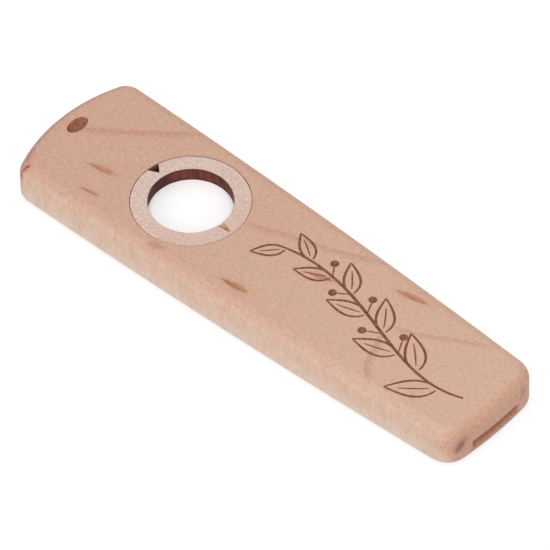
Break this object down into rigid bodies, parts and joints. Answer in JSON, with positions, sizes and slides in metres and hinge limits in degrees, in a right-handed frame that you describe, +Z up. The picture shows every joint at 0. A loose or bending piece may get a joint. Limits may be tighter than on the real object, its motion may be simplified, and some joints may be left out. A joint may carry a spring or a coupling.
{
  "type": "kazoo",
  "caption": "Flat tapered wooden kazoo with a hollow glued body, a mouth slot, an oval vent and a push-fit ring that clamps a white membrane over the air chamber.",
  "frame": {"origin": "centre of the footprint on the surface that the kazoo rests on", "axes": "+X along the body towards the mouth end, +Z up out of the face that holds the ring"},
  "size_m": [0.125, 0.035, 0.01],
  "materials": {
    "body_wood": "fine-grained pinkish cherry-like wood, sanded smooth, satin",
    "ring_wood": "pale close-grained wood with scorched laser-cut edges",
    "hoop_card": "stiff off-white sheet",
    "film": "thin taut white film"
  },
  "bodies": {
    "body": {"upper_board": "body_wood", "lower_board": "body_wood"},
    "ring": {"retaining_ring": "ring_wood"},
    "membrane": {"membrane_hoop": "hoop_card", "membrane_film": "film"}
  },
  "joints": [
    {"name": "ring_lift", "type": "slide", "parent": "body", "child": "ring", "axis": [0, 0, 1], "range_m": [0, 0.016]},
    {"name": "membrane_lift", "type": "slide", "parent": "body", "child": "membrane", "axis": [0, 0, 1], "range_m": [0, 0.008]}
  ],
  "couplings": [
    {"joint": "membrane_lift", "follows": "ring_lift", "ratio": 0.5}
  ]
}
